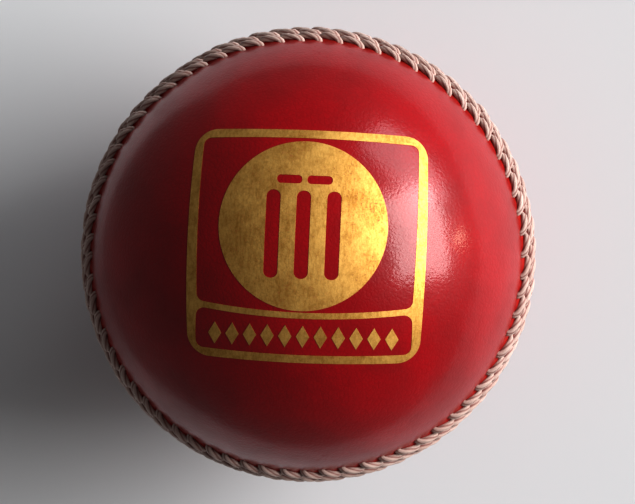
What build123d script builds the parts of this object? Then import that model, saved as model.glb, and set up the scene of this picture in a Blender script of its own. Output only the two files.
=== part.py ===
from build123d import *
import os
from math import cos, pi, radians, sin

# A two-piece cricket ball, in millimetres. The origin is the centre of the ball. The seam lies in the XY
# plane, and +Z points at the pole of the upper cup, which carries the stamped crest.
# Places on the cover are given by arc, the distance from the seam measured along the surface, and by turn,
# the angle round the ball in degrees.

# Cover
BALL_RADIUS = 36.0
LEATHER_THICKNESS = 3.25
CORE_RADIUS = BALL_RADIUS - LEATHER_THICKNESS
BAND_RISE = 0.2  # the seam band stands this much above the ball
BAND_ARC = 6.45  # from the seam to the middle of the band's shoulder
SHOULDER_ARC = 0.1  # half the length of the sloping shoulder
SKIVED_RADIUS = 34.0  # the leather is pared thin behind the stitches
SKIVED_ARC = 10.6
SKIVED_SLOPE_ARC = 0.8
LIP_BEVEL = 0.2  # both across and down, at the edge where the cups meet

# Thread
STITCHES = 68
PITCH_TURN = 360 / STITCHES
THREAD_RADIUS = 0.43
THREAD_CLEARANCE = 0.1  # between the thread and the leather that it lies on
HOLE_CLEARANCE = 0.02
HOLE_RADIUS = THREAD_RADIUS + HOLE_CLEARANCE
HOLE_MIDDLE_RADIUS = 35.0
HOLE_LENGTH = 4.0
STITCH_LEAD = 1.06  # pitches that a stitch runs on round the ball
CLOSING_SHIFT = 0.06  # pitches between the upper and the lower stitches of the closing thread
CLOSING_ARCS = (0.75, 2.9)
MIDDLE_ARCS = (3.8, 5.95)
OUTER_ARCS = (6.95, 9.1)
CLOSING_TURN = 0.0
MIDDLE_TURN = 0.55 * PITCH_TURN
OUTER_TURN = 0.10 * PITCH_TURN

# Core
NUCLEUS_RADIUS = 17.0
LAYERS = 5
CORK_THICKNESS = 1.6
YARN_THICKNESS = (CORE_RADIUS - NUCLEUS_RADIUS) / LAYERS - CORK_THICKNESS
CORK_STRIPS = 8
CORK_GAP = 0.3
CORK_POLE_HOLE = 1.5

# Crest, drawn on a plane above the upper pole and pressed down on the ball
CREST_CENTRE = (0.85, 2.0)
CREST_TURN = -2.3
FOIL_THICKNESS = 0.12
CREST_HALF_WIDTH = 18.0
CREST_HALF_HEIGHT = 17.5
CREST_BOW = 0.55
CREST_CORNER = 3.8
CREST_STROKE = 1.25
DIVIDER_END = -9.4  # height of the divider's centre line at its two ends
DIVIDER_BOW = -1.2
DIVIDER_STROKE = 0.95
WINDOW_CORNER = 1.3
LOWER_WINDOW_BOW = 0.1
DISC_RADIUS = 13.1
DISC_CENTRE = (-0.6, 3.2)
STUMP_WIDTH = 2.2
STUMP_HEIGHT = 13.6
STUMP_SPACING = 4.7
STUMP_CENTRE_HEIGHT = -1.3
BAIL_LENGTH = 3.9
BAIL_WIDTH = 1.3
BAIL_HEIGHT = 7.2
END_FLAT = 0.05  # half the flat left between the round corners of a stump's or a bail's end
LOZENGES = 11
LOZENGE_SPACING = 2.75
LOZENGE_SIZE = (2.1, 3.5)
LOZENGE_HEIGHT = -13.9
PRESS_FLOOR = 20.0
PRESS_DEPTH = 20.0

EVERY_STITCH = range(STITCHES)


def on_ball(radius, arc, turn):
    """Return the point at a radius from the centre, above a place on the cover."""
    latitude = arc / BALL_RADIUS
    longitude = radians(turn)
    level = radius * cos(latitude)
    return Vector(level * cos(longitude), level * sin(longitude), radius * sin(latitude))


def meridian_point(radius, arc):
    """Return the same point at turn 0, as X and Z, for drawing a cup's section."""
    point = on_ball(radius, arc, 0)
    return (point.X, point.Z)


# ---- Core ----


def yarn_winding(inner_radius):
    """One closed layer of tightly wound yarn."""
    return Sphere(inner_radius + YARN_THICKNESS) - Sphere(inner_radius)


def cork_layer(inner_radius, axis_turn):
    """One layer of cork strips, laid side by side like the segments of an orange."""
    strip_turn = 360 / CORK_STRIPS
    shell = Sphere(inner_radius + CORK_THICKNESS) - Sphere(inner_radius)
    shell -= Cylinder(CORK_POLE_HOLE, 3 * inner_radius)
    slot = Pos(1.5 * inner_radius, 0, 0) * Box(3 * inner_radius, CORK_GAP, 3 * inner_radius)
    shell -= [Rot(0, 0, index * strip_turn) * slot for index in range(CORK_STRIPS)]
    return axis_turn * shell


def core_pieces():
    """The nucleus, and the cork and yarn layers on it, by name."""
    pieces = {"core_nucleus": Sphere(NUCLEUS_RADIUS)}
    axis_turns = (Rot(0, 0, 0), Rot(90, 0, 0), Rot(0, 90, 0))
    radius = NUCLEUS_RADIUS
    for layer in range(LAYERS):
        pieces[f"cork_layer_{layer + 1}"] = cork_layer(radius, axis_turns[layer % 3])
        radius += CORK_THICKNESS
        pieces[f"yarn_winding_{layer + 1}"] = yarn_winding(radius)
        radius += YARN_THICKNESS
    return pieces


# ---- Thread ----


def thread_length(stops):
    """Sweep the thread along straight runs, with round elbows, through (radius, arc, pitches) stops."""
    corners = [on_ball(radius, arc, -pitches * PITCH_TURN) for radius, arc, pitches in stops]
    route = Polyline(*corners)
    section = Plane(origin=route @ 0, z_dir=route % 0) * Circle(THREAD_RADIUS)
    return sweep(section, path=route, transition=Transition.ROUND)


def float_radius(arc):
    """Radius of the thread's centre line where it lies on the outside of the leather."""
    surface = BALL_RADIUS + (BAND_RISE if arc < BAND_ARC else 0)
    return surface + THREAD_CLEARANCE + THREAD_RADIUS


def row_stitch(arcs):
    """One stitch of a row in one cup: up, along the outside, down, and back behind the leather."""
    near, far = arcs
    outside = float_radius(far)
    inside = SKIVED_RADIUS - THREAD_CLEARANCE - THREAD_RADIUS
    stops = [
        (HOLE_MIDDLE_RADIUS, near, 0),
        (outside, near, 0),
        (outside, far, STITCH_LEAD),
        (inside, far, STITCH_LEAD),
        (inside, near, 1),
        (HOLE_MIDDLE_RADIUS, near, 1),
    ]
    return thread_length(stops)


def closing_stitch(arcs):
    """One stitch of the closing thread, which goes from cup to cup behind the join."""
    near, far = arcs
    outside = float_radius(far)
    inside = SKIVED_RADIUS - THREAD_CLEARANCE - THREAD_RADIUS
    lower_end = CLOSING_SHIFT + STITCH_LEAD
    stops = [
        (HOLE_MIDDLE_RADIUS, near, 0),
        (outside, near, 0),
        (outside, far, STITCH_LEAD),
        (inside, far, STITCH_LEAD),
        (inside, -far, CLOSING_SHIFT),
        (outside, -far, CLOSING_SHIFT),
        (outside, -near, lower_end),
        (inside, -near, lower_end),
        (inside, near, 1),
        (HOLE_MIDDLE_RADIUS, near, 1),
    ]
    return thread_length(stops)


def all_round(stitch, start_turn):
    """Repeat one stitch round the ball, each beginning where the one before it ends."""
    solid = stitch.solid()
    return Compound(children=[Rot(0, 0, start_turn + index * PITCH_TURN) * solid for index in EVERY_STITCH])


# ---- Crest ----


def bowed_panel(half_width, bottom, top, bows, corner):
    """A four-cornered panel whose side, bottom and top edges bow outwards by the given amounts."""
    side_bow, bottom_bow, top_bow = bows
    middle = (bottom + top) / 2
    edges = [
        ThreePointArc((-half_width, bottom), (0, bottom - bottom_bow), (half_width, bottom)),
        ThreePointArc((half_width, bottom), (half_width + side_bow, middle), (half_width, top)),
        ThreePointArc((half_width, top), (0, top + top_bow), (-half_width, top)),
        ThreePointArc((-half_width, top), (-half_width - side_bow, middle), (-half_width, bottom)),
    ]
    panel = make_face(Curve() + edges)
    return fillet(panel.vertices(), corner)


def border_outline():
    """The crest's frame, with its divider between an upper and a lower window."""
    frame = bowed_panel(
        CREST_HALF_WIDTH, -CREST_HALF_HEIGHT, CREST_HALF_HEIGHT, (CREST_BOW,) * 3, CREST_CORNER
    )
    window_half_width = CREST_HALF_WIDTH - CREST_STROKE
    window_top = CREST_HALF_HEIGHT - CREST_STROKE
    divider_top = DIVIDER_END + DIVIDER_STROKE / 2
    divider_bottom = DIVIDER_END - DIVIDER_STROKE / 2
    upper_bows = (CREST_BOW / 2, -DIVIDER_BOW, CREST_BOW)
    lower_bows = (LOWER_WINDOW_BOW, CREST_BOW, DIVIDER_BOW)
    upper_window = bowed_panel(window_half_width, divider_top, window_top, upper_bows, WINDOW_CORNER)
    lower_window = bowed_panel(window_half_width, -window_top, divider_bottom, lower_bows, WINDOW_CORNER)
    return frame - upper_window - lower_window


def disc_outline():
    """A disc with three stumps and two bails left out of it."""
    disc = Circle(DISC_RADIUS)
    for column in (-1, 0, 1):
        stump = RectangleRounded(STUMP_WIDTH, STUMP_HEIGHT, STUMP_WIDTH / 2 - END_FLAT)
        disc -= Pos(column * STUMP_SPACING, STUMP_CENTRE_HEIGHT) * stump
    for side in (-1, 1):
        bail = RectangleRounded(BAIL_LENGTH, BAIL_WIDTH, BAIL_WIDTH / 2 - END_FLAT)
        disc -= Pos(side * STUMP_SPACING / 2, BAIL_HEIGHT) * bail
    return Pos(*DISC_CENTRE) * disc


def panel_outline():
    """A row of lozenges in the lower window."""
    half_width, half_height = LOZENGE_SIZE[0] / 2, LOZENGE_SIZE[1] / 2
    corners = [(half_width, 0), (0, half_height), (-half_width, 0), (0, -half_height)]
    lozenge = make_face(Polyline(*corners, close=True))
    places = [(index - (LOZENGES - 1) / 2) * LOZENGE_SPACING for index in range(LOZENGES)]
    return Sketch() + [Pos(place, LOZENGE_HEIGHT) * lozenge for place in places]


def pressed(outline):
    """The space that an outline takes above the foil's underside, up past the ball."""
    placed = Pos(*CREST_CENTRE, PRESS_FLOOR) * Rot(0, 0, CREST_TURN) * outline
    return extrude(placed, PRESS_DEPTH) - Sphere(BALL_RADIUS - FOIL_THICKNESS)


# ---- Cover ----


def bare_cup():
    """The upper cup without its holes and crest, turned from its section."""
    pole = BALL_RADIUS * pi / 2
    band_radius = BALL_RADIUS + BAND_RISE
    foot = BAND_ARC + SHOULDER_ARC
    shoulder = BAND_ARC - SHOULDER_ARC
    slope_top = SKIVED_ARC + SKIVED_SLOPE_ARC

    def arc_line(radius, start, end):
        stops = [meridian_point(radius, arc) for arc in (start, (start + end) / 2, end)]
        return ThreePointArc(*stops)

    bevel_top = meridian_point(band_radius, LIP_BEVEL)
    section = [
        arc_line(BALL_RADIUS, pole, foot),
        Line(meridian_point(BALL_RADIUS, foot), meridian_point(band_radius, shoulder)),
        arc_line(band_radius, shoulder, LIP_BEVEL),
        Line(bevel_top, (band_radius - LIP_BEVEL, 0)),
        Line((band_radius - LIP_BEVEL, 0), (SKIVED_RADIUS, 0)),
        arc_line(SKIVED_RADIUS, 0, SKIVED_ARC),
        Line(meridian_point(SKIVED_RADIUS, SKIVED_ARC), meridian_point(CORE_RADIUS, slope_top)),
        arc_line(CORE_RADIUS, slope_top, pole),
        Line((0, CORE_RADIUS), (0, BALL_RADIUS)),
    ]
    return revolve(Plane.XZ * make_face(Curve() + section), Axis.Z)


def needle_holes(arc, start_turn):
    """The holes of one line of stitch ends, all pointing at the centre of the ball."""
    tilt = 90 - arc / BALL_RADIUS * 180 / pi
    hole = Rot(0, tilt, 0) * Pos(0, 0, HOLE_MIDDLE_RADIUS) * Cylinder(HOLE_RADIUS, HOLE_LENGTH)
    return [Rot(0, 0, start_turn + index * PITCH_TURN) * hole for index in EVERY_STITCH]


def upper_holes():
    """The holes of the three rows in the upper cup."""
    holes = []
    rows = ((CLOSING_ARCS, CLOSING_TURN), (MIDDLE_ARCS, MIDDLE_TURN), (OUTER_ARCS, OUTER_TURN))
    for (near, far), start_turn in rows:
        holes += needle_holes(near, start_turn)
        holes += needle_holes(far, start_turn - STITCH_LEAD * PITCH_TURN)
    return holes


def lower_holes():
    """The holes in the lower cup, as they lie before it is turned over."""
    holes = []
    for (near, far), start_turn in ((MIDDLE_ARCS, MIDDLE_TURN), (OUTER_ARCS, OUTER_TURN)):
        holes += needle_holes(near, start_turn)
        holes += needle_holes(far, start_turn - STITCH_LEAD * PITCH_TURN)
    near, far = CLOSING_ARCS
    shift = CLOSING_SHIFT * PITCH_TURN
    holes += needle_holes(far, shift - CLOSING_TURN)
    holes += needle_holes(near, shift + STITCH_LEAD * PITCH_TURN - CLOSING_TURN)
    return holes


# ---- The whole ball ----

turned_over = Rot(180, 0, 0)
outlines = {
    "crest_border_foil": border_outline(),
    "crest_disc_foil": disc_outline(),
    "crest_panel_foil": panel_outline(),
}

pieces = core_pieces()

stamps = {name: pressed(outline) for name, outline in outlines.items()}
upper_cup = bare_cup()
lower_cup = bare_cup()
upper_cup -= upper_holes()
for stamp in stamps.values():
    upper_cup -= stamp
lower_cup -= lower_holes()
pieces["upper_leather_cup"] = upper_cup
pieces["lower_leather_cup"] = turned_over * lower_cup

middle_row = all_round(row_stitch(MIDDLE_ARCS), MIDDLE_TURN)
outer_row = all_round(row_stitch(OUTER_ARCS), OUTER_TURN)
pieces["closing_thread"] = all_round(closing_stitch(CLOSING_ARCS), CLOSING_TURN)
pieces["upper_middle_thread"] = middle_row
pieces["upper_outer_thread"] = outer_row
pieces["lower_middle_thread"] = turned_over * middle_row
pieces["lower_outer_thread"] = turned_over * outer_row

for name, stamp in stamps.items():
    pieces[name] = stamp & Sphere(BALL_RADIUS)

os.makedirs("parts", exist_ok=True)
for name, piece in pieces.items():
    export_step(piece, f"parts/{name}.step")
    print(name, len(piece.solids()), "solids,", round(piece.volume), "mm3")
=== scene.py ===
import logging
import math
from dataclasses import dataclass, field
from enum import Enum

import bpy
import numpy as np
from mathutils import Matrix, Vector


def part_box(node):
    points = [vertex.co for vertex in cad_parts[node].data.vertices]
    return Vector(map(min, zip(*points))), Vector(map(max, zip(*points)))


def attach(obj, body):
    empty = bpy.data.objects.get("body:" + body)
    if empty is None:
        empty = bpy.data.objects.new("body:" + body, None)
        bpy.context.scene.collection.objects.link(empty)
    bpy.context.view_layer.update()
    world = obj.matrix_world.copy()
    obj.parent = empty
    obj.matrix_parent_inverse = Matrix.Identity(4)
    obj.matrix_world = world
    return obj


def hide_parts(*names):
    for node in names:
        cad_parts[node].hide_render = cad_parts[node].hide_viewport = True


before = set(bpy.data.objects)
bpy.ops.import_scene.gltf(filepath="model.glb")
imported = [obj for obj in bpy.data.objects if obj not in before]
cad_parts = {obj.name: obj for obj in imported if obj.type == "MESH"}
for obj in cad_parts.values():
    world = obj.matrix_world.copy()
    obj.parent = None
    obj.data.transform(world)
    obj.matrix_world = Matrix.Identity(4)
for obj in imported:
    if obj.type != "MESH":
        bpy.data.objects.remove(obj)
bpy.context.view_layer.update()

LOG = logging.getLogger("cricket_ball")
MM = 0.001
BODY = "root"
BALL_RADIUS = -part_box("lower_leather_cup")[0].z
CORE_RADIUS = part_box("yarn_winding_5")[1].z
STITCHES = 68
PITCH_TURN = 2 * math.pi / STITCHES
PITCH = PITCH_TURN * BALL_RADIUS

Colour = tuple[float, float, float, float]
Socket = bpy.types.NodeSocket


class Half(Enum):
    """The two halves of the ball: a cup is built as the upper one, and the lower one is turned over."""

    UPPER = "upper"
    LOWER = "lower"


class Row(Enum):
    """The three rows of stitches on each half, from the join outwards."""

    CLOSING = "closing"
    MIDDLE = "middle"
    OUTER = "outer"


# ---- Working in Blender ----


def select_only(piece: bpy.types.Object) -> None:
    """Select and activate one object.

    Args:
        piece: The object to work on next.
    """
    bpy.ops.object.select_all(action="DESELECT")
    piece.select_set(True)
    bpy.context.view_layer.objects.active = piece


def read_points(mesh: bpy.types.Mesh) -> np.ndarray:
    """Read a mesh's vertices.

    Args:
        mesh: The mesh to read.

    Returns:
        An array of places, one row for each vertex.
    """
    places = np.empty(len(mesh.vertices) * 3)
    mesh.vertices.foreach_get("co", places)
    return places.reshape(-1, 3)


def write_points(mesh: bpy.types.Mesh, places: np.ndarray) -> None:
    """Move a mesh's vertices.

    Args:
        mesh: The mesh to change.
        places: One row for each vertex.
    """
    mesh.vertices.foreach_set("co", places.reshape(-1))
    mesh.update()


def on_ball(radius: np.ndarray, arc: np.ndarray, run: np.ndarray) -> np.ndarray:
    """Wrap seam coordinates round the ball.

    Args:
        radius: Distance from the ball's centre.
        arc: Distance from the join, measured over the cover towards the upper pole.
        run: Distance along the join, clockwise as seen from the upper pole.

    Returns:
        An array of places, one row for each point.
    """
    latitude = arc / BALL_RADIUS
    longitude = -run / BALL_RADIUS
    level = radius * np.cos(latitude)
    return np.stack([level * np.cos(longitude), level * np.sin(longitude), radius * np.sin(latitude)], -1)


def turn_over(places: np.ndarray) -> np.ndarray:
    """Turn places half a turn about the X axis, from the upper half to the lower one.

    Args:
        places: One row for each point.

    Returns:
        The turned places.
    """
    return places * np.array([1.0, -1.0, -1.0])


# ---- Shader benches and shared effects ----


class Bench:
    """A node tree that is being wired up, with short ways to add and join nodes."""

    def __init__(self, tree: bpy.types.NodeTree) -> None:
        """Start on a tree.

        Args:
            tree: The material's or group's node tree.
        """
        self.tree = tree

    def add(self, kind: str, **settings: object) -> bpy.types.Node:
        """Add a node.

        Args:
            kind: The node's type, without its ShaderNode prefix.
            **settings: Properties to set on it.

        Returns:
            The new node.
        """
        node = self.tree.nodes.new("ShaderNode" + kind)
        for name, value in settings.items():
            setattr(node, name, value)
        return node

    def feed(self, node: bpy.types.Node, **inputs: object) -> bpy.types.Node:
        """Give a node its inputs, each from a socket or as a value.

        Args:
            node: The node to feed.
            **inputs: Values or output sockets by input name, with spaces written as underscores.

        Returns:
            The same node.
        """
        for name, value in inputs.items():
            socket = node.inputs[name.replace("_", " ")]
            if isinstance(value, Socket):
                self.tree.links.new(value, socket)
            else:
                socket.default_value = value
        return node

    def math(self, operation: str, first: object, second: object = 0.0) -> Socket:
        """Add a Math node.

        Args:
            operation: The operation's name.
            first: Its first value or socket.
            second: Its second value or socket.

        Returns:
            The result's socket.
        """
        node = self.add("Math", operation=operation)
        for socket, value in zip(node.inputs, (first, second)):
            if isinstance(value, Socket):
                self.tree.links.new(value, socket)
            else:
                socket.default_value = value
        return node.outputs[0]

    def ramp(self, value: object, low: float, high: float, start: float = 0.0, end: float = 1.0) -> Socket:
        """Map a value smoothly from one range to another.

        Args:
            value: The socket to map.
            low: Where the change begins.
            high: Where it ends.
            start: The result up to low.
            end: The result from high on.

        Returns:
            The result's socket.
        """
        node = self.add("MapRange", interpolation_type="SMOOTHSTEP")
        self.feed(node, Value=value, From_Min=low, From_Max=high, To_Min=start, To_Max=end)
        return node.outputs["Result"]

    def noise(self, vector: object, scale: float, detail: float = 3.0, rough: float = 0.5) -> Socket:
        """Add a Noise texture.

        Args:
            vector: The socket of the coordinates.
            scale: The texture's scale.
            detail: Its detail.
            rough: Its roughness.

        Returns:
            The noise value's socket.
        """
        node = self.feed(self.add("TexNoise"), Vector=vector, Scale=scale, Detail=detail, Roughness=rough)
        return node.outputs["Fac"]

    def blend(self, share: object, first: object, second: object, kind: str = "MIX") -> Socket:
        """Mix two colours.

        Args:
            share: How much of the second colour there is.
            first: The first colour or its socket.
            second: The second colour or its socket.
            kind: The blend's name.

        Returns:
            The mixed colour's socket.
        """
        node = self.add("Mix", data_type="RGBA", blend_type=kind)
        for index, value in ((0, share), (6, first), (7, second)):
            if isinstance(value, Socket):
                self.tree.links.new(value, node.inputs[index])
            else:
                node.inputs[index].default_value = value
        return node.outputs[2]

    def bump(self, height: object, distance: float, strength: float, normal: object = None) -> Socket:
        """Add a Bump node.

        Args:
            height: The height's socket.
            distance: The depth of the relief, in metres.
            strength: How strongly it shows.
            normal: The normal of a bump under this one, if there is one.

        Returns:
            The normal's socket.
        """
        node = self.feed(self.add("Bump"), Height=height, Distance=distance, Strength=strength)
        if normal is not None:
            self.tree.links.new(normal, node.inputs["Normal"])
        return node.outputs["Normal"]


def new_group(
    name: str, inputs: dict[str, tuple[str, object]], outputs: tuple[str, ...]
) -> tuple[Bench, bpy.types.Node, bpy.types.Node]:
    """Start a shader node group.

    Args:
        name: The group's name.
        inputs: Each input's socket type and default value, by name.
        outputs: The names of the outputs, which are all numbers.

    Returns:
        The bench, the group's input node and its output node.
    """
    tree = bpy.data.node_groups.new(name, "ShaderNodeTree")
    for label, (kind, default) in inputs.items():
        socket = tree.interface.new_socket(name=label, in_out="INPUT", socket_type="NodeSocket" + kind)
        if default is not None:
            socket.default_value = default
    for label in outputs:
        tree.interface.new_socket(name=label, in_out="OUTPUT", socket_type="NodeSocketFloat")
    return Bench(tree), tree.nodes.new("NodeGroupInput"), tree.nodes.new("NodeGroupOutput")


def hide_grain_group() -> bpy.types.NodeTree:
    """Make the grain of tanned hide: small rounded pebbles with fine creases between them.

    Returns:
        The group, with outputs Relief and Creases.
    """
    bench, given, out = new_group(
        "hide_grain", {"Vector": ("Vector", None), "Density": ("Float", 1.0)}, ("Relief", "Creases")
    )
    place = bench.add("VectorMath", operation="SCALE")
    bench.tree.links.new(given.outputs["Vector"], place.inputs[0])
    bench.tree.links.new(given.outputs["Density"], place.inputs["Scale"])
    warp = bench.noise(place.outputs[0], 900.0, 2.0)
    moved = bench.add("VectorMath", operation="MULTIPLY_ADD")
    bench.tree.links.new(warp, moved.inputs[0])
    moved.inputs[1].default_value = (0.00035, 0.00035, 0.00035)
    bench.tree.links.new(place.outputs[0], moved.inputs[2])
    pebbles = bench.feed(bench.add("TexVoronoi", feature="SMOOTH_F1"), Vector=moved.outputs[0], Scale=2100.0)
    pebbles.inputs["Smoothness"].default_value = 0.35
    creases = bench.feed(
        bench.add("TexVoronoi", feature="DISTANCE_TO_EDGE"), Vector=moved.outputs[0], Scale=1150.0
    )
    crease = bench.ramp(creases.outputs["Distance"], 0.0, 0.16, 0.0, 1.0)
    fine = bench.noise(place.outputs[0], 5200.0, 3.0)
    dome = bench.math("MULTIPLY", bench.math("SUBTRACT", 1.0, pebbles.outputs["Distance"]), 0.55)
    relief = bench.math("ADD", dome, bench.math("MULTIPLY", crease, 0.18))
    relief = bench.math("ADD", relief, bench.math("MULTIPLY", fine, 0.22))
    bench.tree.links.new(relief, out.inputs["Relief"])
    # Creases marks the grain's creases; the leather and the gold darken them with it as painted shade.
    bench.tree.links.new(bench.math("SUBTRACT", 1.0, crease), out.inputs["Creases"])
    return bench.tree


def handling_group() -> bpy.types.NodeTree:
    """Make the marks of handling: broad smears, and small scuffs in some of them.

    Returns:
        The group, with outputs Smears and Scuffs.
    """
    bench, given, out = new_group("handling", {"Vector": ("Vector", None)}, ("Smears", "Scuffs"))
    smears = bench.ramp(bench.noise(given.outputs["Vector"], 38.0, 4.0, 0.6), 0.35, 0.7)
    spots = bench.noise(given.outputs["Vector"], 420.0, 5.0, 0.65)
    scuffs = bench.math("MULTIPLY", bench.ramp(spots, 0.6, 0.72), smears)
    bench.tree.links.new(smears, out.inputs["Smears"])
    bench.tree.links.new(scuffs, out.inputs["Scuffs"])
    return bench.tree


def fibre_group() -> bpy.types.NodeTree:
    """Make the fine fibres of a spun thread, long in the second coordinate.

    Returns:
        The group, with outputs Relief and Shade.
    """
    bench, given, out = new_group(
        "spun_fibre",
        {"Vector": ("Vector", None), "Across": ("Float", 24.0), "Along": ("Float", 3.0)},
        ("Relief", "Shade"),
    )
    split = bench.add("SeparateXYZ")
    bench.tree.links.new(given.outputs["Vector"], split.inputs[0])
    joined = bench.add("CombineXYZ")
    bench.tree.links.new(bench.math("MULTIPLY", split.outputs[0], given.outputs["Across"]), joined.inputs[0])
    bench.tree.links.new(bench.math("MULTIPLY", split.outputs[1], given.outputs["Along"]), joined.inputs[1])
    bench.tree.links.new(split.outputs[2], joined.inputs[2])
    fibres = bench.noise(joined.outputs[0], 1.0, 4.0, 0.6)
    bench.tree.links.new(fibres, out.inputs["Relief"])
    bench.tree.links.new(bench.ramp(fibres, 0.3, 0.7), out.inputs["Shade"])
    return bench.tree


@dataclass
class SharedEffects:
    """The node groups that several finishes use, each built once."""

    grain: bpy.types.NodeTree = field(default_factory=hide_grain_group)
    handling: bpy.types.NodeTree = field(default_factory=handling_group)
    fibre: bpy.types.NodeTree = field(default_factory=fibre_group)


def start_finish(name: str) -> tuple[bpy.types.Material, Bench, bpy.types.Node, Socket]:
    """Start a material with one Principled shader on Object coordinates.

    Args:
        name: The material's name.

    Returns:
        The material, its bench, the shader and the coordinates' socket.
    """
    material = bpy.data.materials.new(name)
    material.use_nodes = True
    bench = Bench(material.node_tree)
    shader = bench.tree.nodes["Principled BSDF"]
    place = bench.add("TexCoord").outputs["Object"]
    return material, bench, shader, place


def use_group(bench: Bench, tree: bpy.types.NodeTree, vector: Socket, **values: float) -> bpy.types.Node:
    """Place a group in a material.

    Args:
        bench: The material's bench.
        tree: The group.
        vector: The coordinates' socket.
        **values: The group's own values.

    Returns:
        The group's node.
    """
    node = bench.add("Group", node_tree=tree)
    return bench.feed(node, Vector=vector, **values)


# ---- Finishes ----


@dataclass(frozen=True)
class CoverLeather:
    """Dyed and lacquered hide with a fine grain, with painted shade in the grain's creases and a brighter,
    more orange red painted on the band by the seam as painted light.
    """

    effects: SharedEffects
    dye: Colour = (0.33, 0.002, 0.007, 1.0)
    deep_dye_and_crease_shade: Colour = (0.23, 0.002, 0.005, 1.0)
    painted_seam_light: Colour = (0.33, 0.012, 0.008, 1.0)
    seam_start: float = 9.0 * MM
    seam_end: float = 11.5 * MM
    mottle_scale: float = 75.0
    wave_scale: float = 130.0
    wave_depth: float = 0.00025
    grain_depth: float = 0.00006
    coat_depth: float = 0.00004

    def make(self) -> bpy.types.Material:
        """Build the material.

        Returns:
            The leather's material.
        """
        material, bench, shader, place = start_finish("cover_leather")
        grain = use_group(bench, self.effects.grain, place, Density=1.0)
        handling = use_group(bench, self.effects.handling, place)
        mottle = bench.ramp(bench.noise(place, self.mottle_scale, 5.0, 0.6), 0.3, 0.75)
        colour = bench.blend(mottle, self.dye, self.deep_dye_and_crease_shade)
        # Painted shade: the grain's creases are darkened towards the deep dye.
        colour = bench.blend(bench.math("MULTIPLY", grain.outputs["Creases"], 0.35), colour, self.deep_dye_and_crease_shade)
        split = bench.add("SeparateXYZ")
        bench.tree.links.new(place, split.inputs[0])
        height = bench.math("ABSOLUTE", split.outputs[2])
        # Painted light: the band by the seam is painted a brighter, more orange red, standing in for the
        # light on its ridges and grooves.
        painted_seam_light_mask = bench.ramp(height, self.seam_start, self.seam_end, 1.0, 0.0)
        colour = bench.blend(painted_seam_light_mask, colour, self.painted_seam_light)
        rough = bench.ramp(handling.outputs["Smears"], 0.0, 1.0, 0.34, 0.46)
        rough = bench.math("ADD", rough, bench.math("MULTIPLY", handling.outputs["Scuffs"], 0.2))
        waves = bench.bump(bench.noise(place, self.wave_scale, 2.0), self.wave_depth, 0.35)
        relief = bench.bump(grain.outputs["Relief"], self.grain_depth, 0.55, waves)
        coat_relief = bench.bump(grain.outputs["Relief"], self.coat_depth, 0.4, waves)
        bench.feed(shader, Base_Color=colour, Roughness=rough, Normal=relief, Coat_Normal=coat_relief)
        bench.feed(shader, Coat_Weight=0.6, Coat_Roughness=0.15, Coat_IOR=1.45)
        bench.feed(shader, IOR=1.45, Specular_IOR_Level=0.28)
        return material


@dataclass(frozen=True)
class SeamThread:
    """Waxed off-white linen of twisted plies, tinted pink, with painted shade in the grooves between the
    plies.
    """

    effects: SharedEffects
    clean: Colour = (0.60, 0.48, 0.43, 1.0)
    soiled: Colour = (0.40, 0.27, 0.23, 1.0)
    painted_groove_shade: Colour = (0.21, 0.075, 0.06, 1.0)

    def make(self) -> bpy.types.Material:
        """Build the material.

        Returns:
            The thread's material.
        """
        material, bench, shader, place = start_finish("seam_thread")
        spun = bench.add("UVMap", uv_map="along_thread").outputs[0]
        fibre = use_group(bench, self.effects.fibre, spun, Across=26.0, Along=2.2)
        handling = use_group(bench, self.effects.handling, place)
        crown = bench.add("Attribute", attribute_name="crown").outputs["Fac"]
        shade = bench.add("Attribute", attribute_name="shade").outputs["Fac"]
        soil = bench.math("MULTIPLY", handling.outputs["Smears"], 0.35)
        soil = bench.math("ADD", soil, bench.math("MULTIPLY", fibre.outputs["Shade"], 0.30))
        soil = bench.math("MULTIPLY", bench.math("ADD", soil, shade), 0.6)
        colour = bench.blend(soil, self.clean, self.soiled)
        # Painted shade: the valleys between the plies are darkened towards a dark red-brown.
        painted_groove_shade = bench.ramp(crown, 0.0, 0.75, 0.85, 0.0)
        colour = bench.blend(painted_groove_shade, colour, self.painted_groove_shade)
        normal = bench.bump(fibre.outputs["Relief"], 0.00012, 0.8)
        bench.feed(shader, Base_Color=colour, Normal=normal, Roughness=0.62, Sheen_Weight=0.15, IOR=1.45)
        return material


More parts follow.
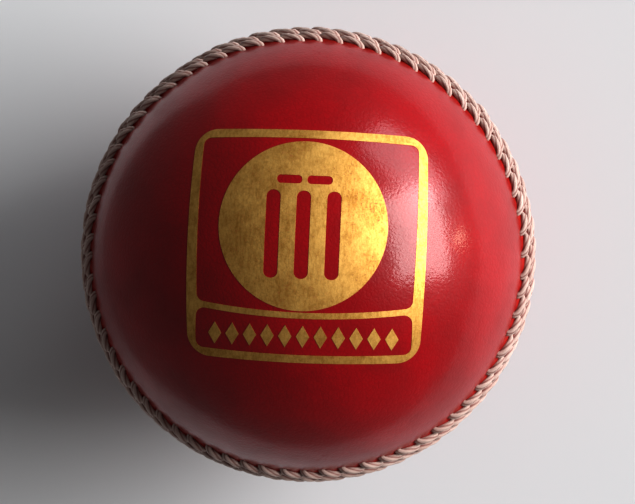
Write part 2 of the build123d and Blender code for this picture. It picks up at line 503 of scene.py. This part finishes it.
@dataclass(frozen=True)
class StampedGold:
    """Gold leaf pressed into the grain: mottled, worn through in specks, and with a little painted shade in
    the grain's creases.
    """

    effects: SharedEffects
    bright: Colour = (0.82, 0.54, 0.175, 1.0)
    dull_and_crease_shade: Colour = (0.42, 0.20, 0.03, 1.0)
    worn: Colour = (0.24, 0.02, 0.01, 1.0)
    streak_stretch: tuple[float, float, float] = (1.6, 0.45, 1.0)
    streak_scale: float = 1500.0
    cloud_scale: float = 190.0
    speck_scale: float = 3400.0
    speck_depth: float = 0.00005

    def make(self) -> bpy.types.Material:
        """Build the material.

        Returns:
            The gold leaf's material.
        """
        material, bench, shader, place = start_finish("crest_gold")
        grain = use_group(bench, self.effects.grain, place, Density=1.0)
        cloud = bench.ramp(bench.noise(place, self.cloud_scale, 7.0, 0.72), 0.34, 0.72)
        speck = bench.noise(place, self.speck_scale, 4.0, 0.75)
        drawn = bench.add("VectorMath", operation="MULTIPLY")
        bench.tree.links.new(place, drawn.inputs[0])
        drawn.inputs[1].default_value = self.streak_stretch
        streak = bench.ramp(bench.noise(drawn.outputs[0], self.streak_scale, 5.0, 0.7), 0.42, 0.62)
        shade = bench.math("MULTIPLY", cloud, 0.5)
        shade = bench.math("ADD", shade, bench.math("MULTIPLY", streak, 0.28))
        # Painted shade: the grain's creases are darkened a little towards the dull gold.
        shade = bench.math("ADD", shade, bench.math("MULTIPLY", grain.outputs["Creases"], 0.1))
        colour = bench.blend(shade, self.bright, self.dull_and_crease_shade)
        gone = bench.math("MULTIPLY", bench.ramp(speck, 0.55, 0.66), bench.ramp(cloud, 0.1, 1.0, 0.1, 0.75))
        colour = bench.blend(gone, colour, self.worn)
        metal = bench.math("SUBTRACT", 1.0, gone)
        rough = bench.ramp(speck, 0.3, 0.7, 0.54, 0.70)
        normal = bench.bump(speck, self.speck_depth, 0.45)
        bench.feed(shader, Base_Color=colour, Metallic=metal, Roughness=rough, Normal=normal)
        return material


@dataclass(frozen=True)
class RawCork:
    """Cork strips with dark pores."""

    pale: Colour = (0.56, 0.36, 0.20, 1.0)
    dark: Colour = (0.20, 0.10, 0.05, 1.0)

    def make(self) -> bpy.types.Material:
        """Build the material.

        Returns:
            The cork's material.
        """
        material, bench, shader, place = start_finish("core_cork")
        cells = bench.feed(bench.add("TexVoronoi"), Vector=place, Scale=900.0)
        pores = bench.ramp(bench.noise(place, 500.0, 5.0, 0.7), 0.55, 0.68)
        colour = bench.blend(bench.math("MULTIPLY", cells.outputs["Distance"], 0.4), self.pale, self.dark)
        colour = bench.blend(pores, colour, self.dark)
        normal = bench.bump(bench.math("SUBTRACT", 1.0, pores), 0.0002, 0.7)
        bench.feed(shader, Base_Color=colour, Normal=normal, Roughness=0.85)
        return material


@dataclass(frozen=True)
class WoundYarn:
    """Worsted yarn, wound tight, with painted shade in the valleys between the turns."""

    effects: SharedEffects
    pale: Colour = (0.72, 0.64, 0.50, 1.0)
    dark: Colour = (0.38, 0.30, 0.20, 1.0)

    def make(self) -> bpy.types.Material:
        """Build the material.

        Returns:
            The yarn's material.
        """
        material, bench, shader, place = start_finish("core_yarn")
        turns = bench.feed(bench.add("TexWave"), Vector=place, Scale=260.0, Distortion=2.0, Detail=2.0)
        fibre = use_group(bench, self.effects.fibre, place, Across=4000.0, Along=400.0)
        # Painted shade: the colour is darker where the turns' relief is low, between the turns, mixed with
        # the fibres' own tone.
        shade = bench.math("MULTIPLY", fibre.outputs["Shade"], turns.outputs["Fac"])
        colour = bench.blend(shade, self.dark, self.pale)
        normal = bench.bump(turns.outputs["Fac"], 0.0004, 0.8)
        bench.feed(shader, Base_Color=colour, Normal=normal, Roughness=0.9)
        return material


@dataclass(frozen=True)
class MouldedNucleus:
    """Moulded cork crumbs in dark rubber."""

    rubber: Colour = (0.10, 0.05, 0.03, 1.0)
    crumb: Colour = (0.42, 0.25, 0.13, 1.0)

    def make(self) -> bpy.types.Material:
        """Build the material.

        Returns:
            The nucleus's material.
        """
        material, bench, shader, place = start_finish("nucleus_rubber")
        crumbs = bench.feed(bench.add("TexVoronoi"), Vector=place, Scale=480.0)
        share = bench.ramp(crumbs.outputs["Distance"], 0.25, 0.45, 1.0, 0.0)
        colour = bench.blend(share, self.rubber, self.crumb)
        normal = bench.bump(share, 0.0002, 0.5)
        bench.feed(shader, Base_Color=colour, Normal=normal, Roughness=0.75)
        return material


# ---- The seam's plan ----


@dataclass(frozen=True)
class StitchPlace:
    """Where one stitch lies, in seam coordinates."""

    start: float
    near: float
    far: float
    lead: float
    thickness: float
    shade: float


@dataclass(frozen=True)
class RowPlan:
    """The even places of one row, and how unevenly its stitches were pulled."""

    row: Row
    near: float
    far: float
    phase: float
    lead: float = 1.10
    seed: int = 1
    drift: float = 0.0
    slip_spread: float = 0.035
    pull_spread: float = 0.09 * MM
    reach_spread: float = 0.03
    girth_spread: float = 0.04
    soil: float = 0.35
    soil_spread: float = 0.22

    def stitches(self) -> list[StitchPlace]:
        """Work out every stitch of the row.

        Returns:
            The stitches, in order round the ball.
        """
        chance = np.random.default_rng(self.seed)
        places = []
        for index in range(STITCHES):
            slip, pull, reach, girth, tone = chance.normal(0.0, 1.0, 5)
            sway = self.drift * math.sin(2 * math.pi * index / STITCHES)
            places.append(
                StitchPlace(
                    start=(index + self.phase + sway + self.slip_spread * slip) * PITCH,
                    near=self.near,
                    far=self.far + self.pull_spread * pull,
                    lead=(self.lead + self.reach_spread * reach) * PITCH,
                    thickness=1.0 + self.girth_spread * girth,
                    shade=self.soil + self.soil_spread * tone,
                )
            )
        return places


@dataclass(frozen=True)
class SeamPlan:
    """The three rows of one half, and the leather's shape under them."""

    rows: tuple[RowPlan, ...] = (
        RowPlan(Row.CLOSING, near=1.2 * MM, far=2.9 * MM, phase=0.0, seed=11),
        RowPlan(Row.MIDDLE, near=4.5 * MM, far=6.1 * MM, phase=-0.55, seed=12),
        RowPlan(Row.OUTER, near=7.75 * MM, far=9.3 * MM, phase=-0.10, seed=13, drift=0.25),
    )
    cover_radius: float = BALL_RADIUS - 0.04 * MM
    band_rise: float = 0.28 * MM
    band_inside: float = 8.2 * MM
    band_outside: float = 9.6 * MM
    lip_drop: float = 0.35 * MM
    lip_reach: float = 0.32 * MM
    dimple: float = 0.34 * MM
    dimple_reach: float = 0.62 * MM
    crimp: float = 0.07 * MM
    crimp_reach: float = 1.5 * MM
    crimp_start: float = 6.5 * MM
    crimp_rise: float = 2.5 * MM

    def row(self, wanted: Row) -> RowPlan:
        """Find a row's plan.

        Args:
            wanted: The row.

        Returns:
            Its plan.
        """
        return next(plan for plan in self.rows if plan.row is wanted)

    def band(self, arc: np.ndarray) -> np.ndarray:
        """Work out the cover's smooth radius, without the marks of the stitches.

        Args:
            arc: Distances from the join.

        Returns:
            The radius at each distance.
        """
        share = np.clip((self.band_outside - arc) / (self.band_outside - self.band_inside), 0.0, 1.0)
        rise = self.band_rise * share * share * (3 - 2 * share)
        lip = self.lip_drop * np.exp(-((arc / self.lip_reach) ** 2))
        return self.cover_radius + rise - lip

    def surface(self, arc: np.ndarray, run: np.ndarray) -> np.ndarray:
        """Work out the cover's radius, pulled down at each needle hole and crimped beside the seam.

        Args:
            arc: Distances from the join.
            run: Distances along the join.

        Returns:
            The radius at each place.
        """
        radius = self.band(arc)
        whole = STITCHES * PITCH
        for plan in self.rows:
            for stitch in plan.stitches():
                ends = ((stitch.near, stitch.start), (stitch.far, stitch.start + stitch.lead))
                for hole_arc, hole_run in ends:
                    along = (run - hole_run + whole / 2) % whole - whole / 2
                    near = np.abs(along) < 3 * self.dimple_reach
                    near &= np.abs(arc - hole_arc) < 3 * self.dimple_reach
                    gap = along[near] ** 2 + (arc[near] - hole_arc) ** 2
                    radius[near] -= self.dimple * np.exp(-gap / self.dimple_reach**2)
        outer = self.row(Row.OUTER)
        phase = run / PITCH - outer.phase - outer.lead
        beyond = np.clip(arc - outer.far, 0.0, None)
        crimp = self.crimp * np.exp(-beyond / self.crimp_reach)
        crimp = crimp * np.clip((arc - self.crimp_start) / self.crimp_rise, 0, 1)
        radius -= crimp * np.cos(2 * math.pi * phase)
        return radius


# ---- The cover ----


@dataclass
class LeatherCup:
    """One half of the cover: a moulded cup with a raised, stitched band and a pared inside edge."""

    half: Half
    plan: SeamPlan
    columns_per_stitch: int = 10
    fine_step: float = 0.30 * MM
    fine_end: float = 12.6 * MM
    coarse_step: float = 1.05 * MM
    pared_radius: float = 34.0 * MM
    pared_arc: float = 10.6 * MM
    inside_step: float = 5.0 * MM
    pared_slope: float = 1.0 * MM
    core_clearance: float = 0.05 * MM
    skin_margin: float = 0.5 * MM
    weld: float = 1e-6

    def section(self) -> np.ndarray:
        """Work out the cup's section from the outer pole, round the lip, to the inner pole.

        Returns:
            An array of places in the XZ plane.
        """
        pole = BALL_RADIUS * math.pi / 2
        coarse = np.linspace(pole, self.fine_end, round((pole - self.fine_end) / self.coarse_step))
        fine = np.linspace(self.fine_end, 0.0, round(self.fine_end / self.fine_step) + 1)[1:]
        outside = np.concatenate([coarse, fine])
        pared = np.linspace(0.0, self.pared_arc, 4)
        inside = np.linspace(self.pared_arc + self.pared_slope, pole, round(pole / self.inside_step))
        arcs = np.concatenate([outside, pared, inside])
        radii = np.concatenate(
            [
                self.plan.band(outside),
                np.full(len(pared), self.pared_radius),
                np.full(len(inside), CORE_RADIUS + self.core_clearance),
            ]
        )
        places = on_ball(radii, arcs, np.zeros(len(arcs)))
        places[[0, -1], 0] = 0.0
        return places

    def build(self) -> bpy.types.Object:
        """Turn the section round the ball, close it, and press the stitches' marks into it.

        Returns:
            The finished cup.
        """
        section = self.section()
        bpy.ops.object.select_all(action="DESELECT")
        bpy.ops.mesh.primitive_circle_add(vertices=len(section), radius=BALL_RADIUS)
        cup = bpy.context.object
        cup.name = f"{self.half.value}_cover_cup"
        write_points(cup.data, section)
        closing_edge = next(
            edge.index for edge in cup.data.edges if set(edge.vertices) == {0, len(section) - 1}
        )
        bpy.ops.object.mode_set(mode="EDIT")
        bpy.ops.mesh.select_mode(type="EDGE")
        bpy.ops.mesh.select_all(action="DESELECT")
        bpy.ops.object.mode_set(mode="OBJECT")
        cup.data.edges[closing_edge].select = True
        bpy.ops.object.mode_set(mode="EDIT")
        bpy.ops.mesh.delete(type="EDGE")
        bpy.ops.object.mode_set(mode="OBJECT")
        turned = cup.modifiers.new("turned_round", "SCREW")
        turned.axis = "Z"
        turned.steps = turned.render_steps = STITCHES * self.columns_per_stitch
        turned.use_merge_vertices = True
        turned.merge_threshold = self.weld
        bpy.ops.object.modifier_apply(modifier=turned.name)
        bpy.ops.object.mode_set(mode="EDIT")
        bpy.ops.mesh.select_all(action="SELECT")
        bpy.ops.mesh.normals_make_consistent(inside=False)
        bpy.ops.object.mode_set(mode="OBJECT")
        self.press_marks(cup.data)
        bpy.ops.object.shade_smooth()
        return cup

    def press_marks(self, mesh: bpy.types.Mesh) -> None:
        """Move the outer skin to the plan's surface, and turn the lower cup over.

        Args:
            mesh: The cup's mesh.
        """
        places = read_points(mesh)
        radius = np.linalg.norm(places, axis=1)
        skin = radius > self.pared_radius + self.skin_margin
        arc = np.arcsin(np.clip(places[:, 2] / radius, -1, 1)) * BALL_RADIUS
        run = -np.arctan2(places[:, 1], places[:, 0]) * BALL_RADIUS
        pressed = self.plan.surface(arc[skin], run[skin])
        places[skin] *= (pressed / radius[skin])[:, None]
        if self.half is Half.LOWER:
            places = turn_over(places)
        write_points(mesh, places)

    def dress(self, cup: bpy.types.Object, finish: bpy.types.Material) -> None:
        """Give the cup its leather and its place on the ball.

        Args:
            cup: The cup's object.
            finish: The leather.
        """
        cup.data.materials.append(finish)
        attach(cup, BODY)
        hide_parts(f"{self.half.value}_leather_cup")


# ---- The thread ----


@dataclass
class StitchMaker:
    """Makes one stitch of three twisted plies, flat in seam coordinates, for copying round a row."""

    plan: SeamPlan
    thickness: float = 1.12 * MM
    plies: int = 3
    points_per_ply: int = 3
    rings: int = 9
    twist: float = 0.62 * 2 * math.pi
    valley: float = 0.80

    def route(self, row: RowPlan) -> list[tuple[float, float, float]]:
        """Work out the line of a stitch: out of its hole, along the seam, over, and down to its tip.

        Args:
            row: The row that it belongs to.

        Returns:
            Places as distance along, distance from the join, and height above the cover's radius.
        """
        width = row.far - row.near
        lead = row.lead * PITCH
        lift = self.thickness / 2
        shape = (
            (0.00, 0.00, -0.95),
            (0.06, 0.08, 0.05),
            (0.20, 0.34, 0.58),
            (0.43, 0.62, 0.72),
            (0.68, 0.80, 0.70),
            (0.87, 0.92, 0.46),
            (0.97, 0.99, -0.15),
            (1.00, 1.02, -1.00),
        )
        places = []
        for along, across, height in shape:
            arc = row.near + across * width
            rise = float(self.plan.band(np.array([arc]))[0]) - self.plan.cover_radius
            places.append((along * lead, arc, rise + height * lift))
        return places

    def build(self, row: RowPlan) -> bpy.types.Object:
        """Make the stitch: a lobed ring drawn out and twisted, then bent along the stitch's line.

        Args:
            row: The row that it belongs to.

        Returns:
            The flat stitch, with its thread coordinates and crown attribute.
        """
        spline_object = self.line(row)
        length = spline_object.data.splines[0].calc_length()
        corners = self.plies * self.points_per_ply
        bpy.ops.object.select_all(action="DESELECT")
        bpy.ops.mesh.primitive_circle_add(
            vertices=corners, radius=self.thickness / 2, rotation=(0, math.pi / 2, 0)
        )
        stitch = bpy.context.object
        bpy.ops.object.transform_apply(location=False, rotation=True, scale=True)
        self.pinch_valleys(stitch, corners)
        step = length / self.rings
        bpy.ops.object.mode_set(mode="EDIT")
        bpy.ops.mesh.select_all(action="SELECT")
        for ring in range(1, self.rings + 1):
            bpy.ops.mesh.extrude_region_move(TRANSFORM_OT_translate={"value": (step, 0, 0)})
            bpy.ops.transform.rotate(
                value=self.twist / self.rings, orient_axis="X", center_override=(ring * step, 0, 0)
            )
        bpy.ops.object.mode_set(mode="OBJECT")
        self.mark_thread(stitch, corners, length)
        select_only(stitch)
        bend = stitch.modifiers.new("lie_along", "CURVE")
        bend.object = spline_object
        bend.deform_axis = "POS_X"
        bpy.ops.object.modifier_apply(modifier=bend.name)
        bpy.data.objects.remove(spline_object)
        return stitch

    def line(self, row: RowPlan) -> bpy.types.Object:
        """Draw the stitch's line as a smooth curve.

        Args:
            row: The row that it belongs to.

        Returns:
            The curve's object.
        """
        places = self.route(row)
        curve = bpy.data.curves.new("stitch_line", "CURVE")
        curve.dimensions = "3D"
        curve.resolution_u = 12
        spline = curve.splines.new("NURBS")
        spline.points.add(len(places) - 1)
        for point, place in zip(spline.points, places):
            point.co = (*place, 1.0)
        spline.order_u = 3
        spline.use_endpoint_u = True
        line = bpy.data.objects.new("stitch_line", curve)
        bpy.context.scene.collection.objects.link(line)
        bpy.context.view_layer.update()
        return line

    def pinch_valleys(self, stitch: bpy.types.Object, corners: int) -> None:
        """Pull in the ring's points that lie between two plies.

        Args:
            stitch: The ring's object.
            corners: How many points the ring has.
        """
        places = read_points(stitch.data)
        for index in range(0, corners, self.points_per_ply):
            places[index] *= self.valley
        write_points(stitch.data, places)

    def mark_thread(self, stitch: bpy.types.Object, corners: int, length: float) -> None:
        """Write the thread's own coordinates, which turn with the twist, and where the plies stand proud.

        Args:
            stitch: The straight stitch.
            corners: How many points each ring has.
            length: The stitch's length.
        """
        mesh = stitch.data
        places = read_points(mesh)
        ring = np.round(places[:, 0] / (length / self.rings)).astype(int)
        turned = np.arctan2(places[:, 2], places[:, 1])
        first = np.arctan2(places[0, 2], places[0, 1])
        sense = self.sense(places, ring, turned)
        around = (turned - first - sense * self.twist / self.rings * ring) / (2 * math.pi)
        corner = np.round(around * corners).astype(int) % corners
        # The crown attribute is 0 in the valleys between the plies, where the thread's material paints shade.
        crown = mesh.attributes.new("crown", "FLOAT", "POINT")
        crown.data.foreach_set("value", (corner % self.points_per_ply != 0).astype(float))
        layer = mesh.uv_layers.new(name="along_thread")
        for face in mesh.polygons:
            used = [corner[mesh.loops[loop].vertex_index] for loop in face.loop_indices]
            wraps = max(used) - min(used) > corners / 2
            for loop, value in zip(face.loop_indices, used):
                vertex = mesh.loops[loop].vertex_index
                across = (value + corners if wraps and value < corners / 2 else value) / corners
                layer.data[loop].uv = (across, ring[vertex] / self.rings)

    def sense(self, places: np.ndarray, ring: np.ndarray, turned: np.ndarray) -> float:
        """Find which way the twist went.

        Args:
            places: The stitch's vertices.
            ring: The ring of each vertex.
            turned: The angle of each vertex round the thread.

        Returns:
            1.0 or -1.0, the sign of the twist as the angle counts it.
        """
        girth = np.hypot(places[:, 1], places[:, 2])
        valleys = girth < (1 + self.valley) / 2 * self.thickness / 2
        low = np.sort(turned[valleys & (ring == 0)])
        step = self.twist / self.rings
        here = turned[valleys & (ring == 1)]
        misses = []
        for sign in (1.0, -1.0):
            gap = np.angle(np.exp(1j * (here[:, None] - low[None, :] - sign * step)))
            misses.append(np.abs(gap).min(axis=1).sum())
        return 1.0 if misses[0] < misses[1] else -1.0


@dataclass
class StitchRow:
    """The visible stitches of one thread, copied from one stitch and laid round the ball."""

    name: str
    node: str
    halves: tuple[Half, ...]
    row: Row
    plan: SeamPlan
    maker: StitchMaker

    def build(self) -> bpy.types.Object:
        """Copy the stitch to every place of the row, and join the copies.

        Returns:
            The finished row.
        """
        row = self.plan.row(self.row)
        pattern = self.maker.build(row)
        flat = read_points(pattern.data)
        copies = []
        for half in self.halves:
            for place in row.stitches():
                copy = bpy.data.objects.new("stitch", pattern.data.copy())
                bpy.context.scene.collection.objects.link(copy)
                write_points(copy.data, self.laid(flat, row, place, half))
                shade = copy.data.attributes.new("shade", "FLOAT", "POINT")
                shade.data.foreach_set("value", np.full(len(flat), place.shade))
                copies.append(copy)
        bpy.data.objects.remove(pattern)
        bpy.ops.object.select_all(action="DESELECT")
        for copy in copies:
            copy.select_set(True)
        bpy.context.view_layer.objects.active = copies[0]
        bpy.ops.object.join()
        whole = bpy.context.object
        whole.name = self.name
        self.close_ends()
        bpy.ops.object.shade_smooth()
        return whole

    def laid(self, flat: np.ndarray, row: RowPlan, place: StitchPlace, half: Half) -> np.ndarray:
        """Lay the flat stitch at its place on the ball.

        Args:
            flat: The flat stitch's vertices.
            row: The row's even sizes.
            place: Where this stitch lies.
            half: The half of the ball that it is on.

        Returns:
            The places of its vertices.
        """
        along = flat[:, 0] * place.lead / (row.lead * PITCH)
        share = np.clip((flat[:, 1] - row.near) / (row.far - row.near), 0.0, 1.0)
        arc = flat[:, 1] + share * (place.far - row.far)
        height = flat[:, 2] * place.thickness
        places = on_ball(self.plan.cover_radius + height, arc, place.start + along)
        return turn_over(places) if half is Half.LOWER else places

    def close_ends(self) -> None:
        """Close the stitches' two ends, which lie in their holes."""
        bpy.ops.object.mode_set(mode="EDIT")
        bpy.ops.mesh.select_mode(type="EDGE")
        bpy.ops.mesh.select_all(action="DESELECT")
        bpy.ops.mesh.select_non_manifold(extend=False, use_boundary=True)
        bpy.ops.mesh.fill_holes(sides=0)
        bpy.ops.mesh.select_all(action="SELECT")
        bpy.ops.mesh.normals_make_consistent(inside=False)
        bpy.ops.object.mode_set(mode="OBJECT")

    def dress(self, piece: bpy.types.Object, finish: bpy.types.Material) -> None:
        """Give the row its thread and its place on the ball.

        Args:
            piece: The row's object.
            finish: The thread's material.
        """
        piece.data.materials.clear()
        piece.data.materials.append(finish)
        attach(piece, BODY)
        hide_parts(self.node)


# ---- The core and the crest ----


@dataclass(frozen=True)
class CarriedNodes:
    """Nodes whose own shape is right, and which only take a better finish."""

    prefix: tuple[str, ...]
    finish: bpy.types.Material

    def dress(self) -> None:
        """Give each node the finish."""
        for name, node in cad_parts.items():
            if name.startswith(self.prefix):
                node.data.materials.clear()
                node.data.materials.append(self.finish)
                LOG.info("%s: %d faces, finish %s", name, len(node.data.polygons), self.finish.name)


# ---- The room ----


@dataclass(frozen=True)
class Window:
    """A rectangular light that faces the ball.

    Its angle is from straight above and its way is round from the right towards the crest's top, both in
    degrees. Its size is its width round the ball and its height, and its radiance is how bright it looks.
    """

    name: str
    angle: float
    way: float
    size: tuple[float, float]
    radiance: float
    tint: tuple[float, float, float]


@dataclass
class Studio:
    """A pale table top, window light from the right, and the camera looking down at the crest."""

    table_size: float = 4.0
    distance: float = 0.60
    window_distance: float = 2.5
    tilt: float = math.radians(2.4)
    tilt_way: float = math.radians(37.0)
    aim_right: float = 1.47 * MM
    aim_up: float = 0.37 * MM
    lens: float = 208.0
    sensor: float = 36.0
    contrast: float = 0.75
    sheet_size: float = 0.36
    sheet_stretch: tuple[float, float, float] = (1.15, 0.75, 1.0)
    sheet_shift: float = 0.12
    table_pale: Colour = (0.665, 0.69, 0.705, 1.0)
    table_paler: Colour = (0.695, 0.72, 0.735, 1.0)
    table_cloud_scale: float = 6.0
    table_roughness: float = 0.6
    room_tint: Colour = (1.0, 0.97, 0.97, 1.0)
    room_strength: float = 0.18
    clip_start: float = 0.01
    clip_end: float = 20.0
    windows: tuple[Window, ...] = (
        Window("window", angle=62.0, way=12.0, size=(1.85, 1.45), radiance=13.8, tint=(1.0, 0.97, 0.96)),
        Window("sky", angle=75.0, way=42.0, size=(1.8, 1.1), radiance=5.5, tint=(0.95, 0.97, 1.0)),
        Window("low_gleam", angle=86.5, way=6.0, size=(0.2, 0.2), radiance=20.0, tint=(1.0, 0.86, 0.62)),
    )

    def build(self) -> None:
        """Make the table, the lights and the camera."""
        self.table()
        self.world()
        for window in self.windows:
            self.hang(window)
        self.camera()
        view = bpy.context.scene.view_settings
        view.view_transform = "Standard"
        view.look = "None"
        view.gamma = self.contrast

    def table(self) -> None:
        """Make the table top that the ball lies on, in two parts, of which only the near one is mirrored."""
        bpy.ops.object.select_all(action="DESELECT")
        bpy.ops.mesh.primitive_plane_add(size=self.table_size, location=(0, 0, -BALL_RADIUS))
        top = bpy.context.object
        top.name = "table_top"
        bpy.ops.object.transform_apply(location=True, rotation=False, scale=False)
        material, bench, shader, place = start_finish("table_paint")
        tone = bench.blend(bench.noise(place, self.table_cloud_scale), self.table_pale, self.table_paler)
        bench.feed(shader, Base_Color=tone, Roughness=self.table_roughness)
        top.data.materials.append(material)
        bpy.ops.object.mode_set(mode="EDIT")
        bpy.ops.mesh.select_all(action="SELECT")
        bpy.ops.mesh.inset(thickness=(self.table_size - self.sheet_size) / 2)
        bpy.ops.transform.resize(value=self.sheet_stretch, center_override=(0, 0, -BALL_RADIUS))
        bpy.ops.transform.translate(value=(self.sheet_shift, 0, 0))
        bpy.ops.mesh.separate(type="SELECTED")
        bpy.ops.object.mode_set(mode="OBJECT")
        near = next(piece for piece in bpy.context.selected_objects if piece is not top)
        near.name = "table_top_near"
        top.visible_glossy = False

    def world(self) -> None:
        """Make the room's soft light."""
        world = bpy.data.worlds.new("room")
        bpy.context.scene.world = world
        world.use_nodes = True
        background = world.node_tree.nodes["Background"]
        background.inputs["Color"].default_value = self.room_tint
        background.inputs["Strength"].default_value = self.room_strength

    def hang(self, window: Window) -> None:
        """Hang a window's light so that it faces the ball.

        Args:
            window: The window.
        """
        lamp = bpy.data.lights.new(window.name, "AREA")
        lamp.shape = "RECTANGLE"
        lamp.size_y, lamp.size = window.size
        lamp.energy = window.radiance * math.pi * window.size[0] * window.size[1]
        lamp.color = window.tint
        holder = bpy.data.objects.new(window.name, lamp)
        bpy.context.scene.collection.objects.link(holder)
        tip, round_by = math.radians(window.angle), math.radians(window.way)
        level = math.sin(tip)
        away = np.array([level * math.cos(round_by), level * math.sin(round_by), math.cos(tip)])
        holder.location = away * self.window_distance
        holder.rotation_mode = "XYZ"
        holder.rotation_euler = (0.0, tip, round_by)

    def camera(self) -> None:
        """Place the camera above the crest, tipped so that the seam shows more at the upper right."""
        lens = bpy.data.cameras.new("camera")
        lens.lens = self.lens
        lens.sensor_width = self.sensor
        lens.clip_start, lens.clip_end = self.clip_start, self.clip_end
        camera = bpy.data.objects.new("camera", lens)
        bpy.context.scene.collection.objects.link(camera)
        lean = math.sin(self.tilt)
        back = Vector((lean * math.cos(self.tilt_way), lean * math.sin(self.tilt_way), math.cos(self.tilt)))
        right = Vector((0.0, 1.0, 0.0)).cross(back).normalized()
        up = back.cross(right)
        turn = Matrix((right, up, back)).transposed().to_4x4()
        turn.translation = back * self.distance + right * self.aim_right + up * self.aim_up
        camera.matrix_world = turn
        bpy.context.scene.camera = camera


def main() -> None:
    """Build the ball's pieces in order, dress them, and set up the room."""
    logging.basicConfig(level=logging.INFO, format="%(name)s: %(message)s")
    Studio().build()
    effects = SharedEffects()
    leather = CoverLeather(effects).make()
    thread = SeamThread(effects).make()
    plan = SeamPlan()
    maker = StitchMaker(plan)
    CarriedNodes(("crest_",), StampedGold(effects).make()).dress()
    CarriedNodes(("cork_",), RawCork().make()).dress()
    CarriedNodes(("yarn_",), WoundYarn(effects).make()).dress()
    CarriedNodes(("core_nucleus",), MouldedNucleus().make()).dress()
    for half in Half:
        builder = LeatherCup(half, plan)
        cup = builder.build()
        builder.dress(cup, leather)
        LOG.info("%s: %d faces", cup.name, len(cup.data.polygons))
    rows = [StitchRow("closing_stitches", "closing_thread", tuple(Half), Row.CLOSING, plan, maker)]
    for half in Half:
        for row in (Row.MIDDLE, Row.OUTER):
            name = f"{half.value}_{row.value}"
            rows.append(StitchRow(f"{name}_stitches", f"{name}_thread", (half,), row, plan, maker))
    for builder in rows:
        piece = builder.build()
        builder.dress(piece, thread)
        LOG.info("%s: %d faces", piece.name, len(piece.data.polygons))


if __name__ == "__main__":
    main()
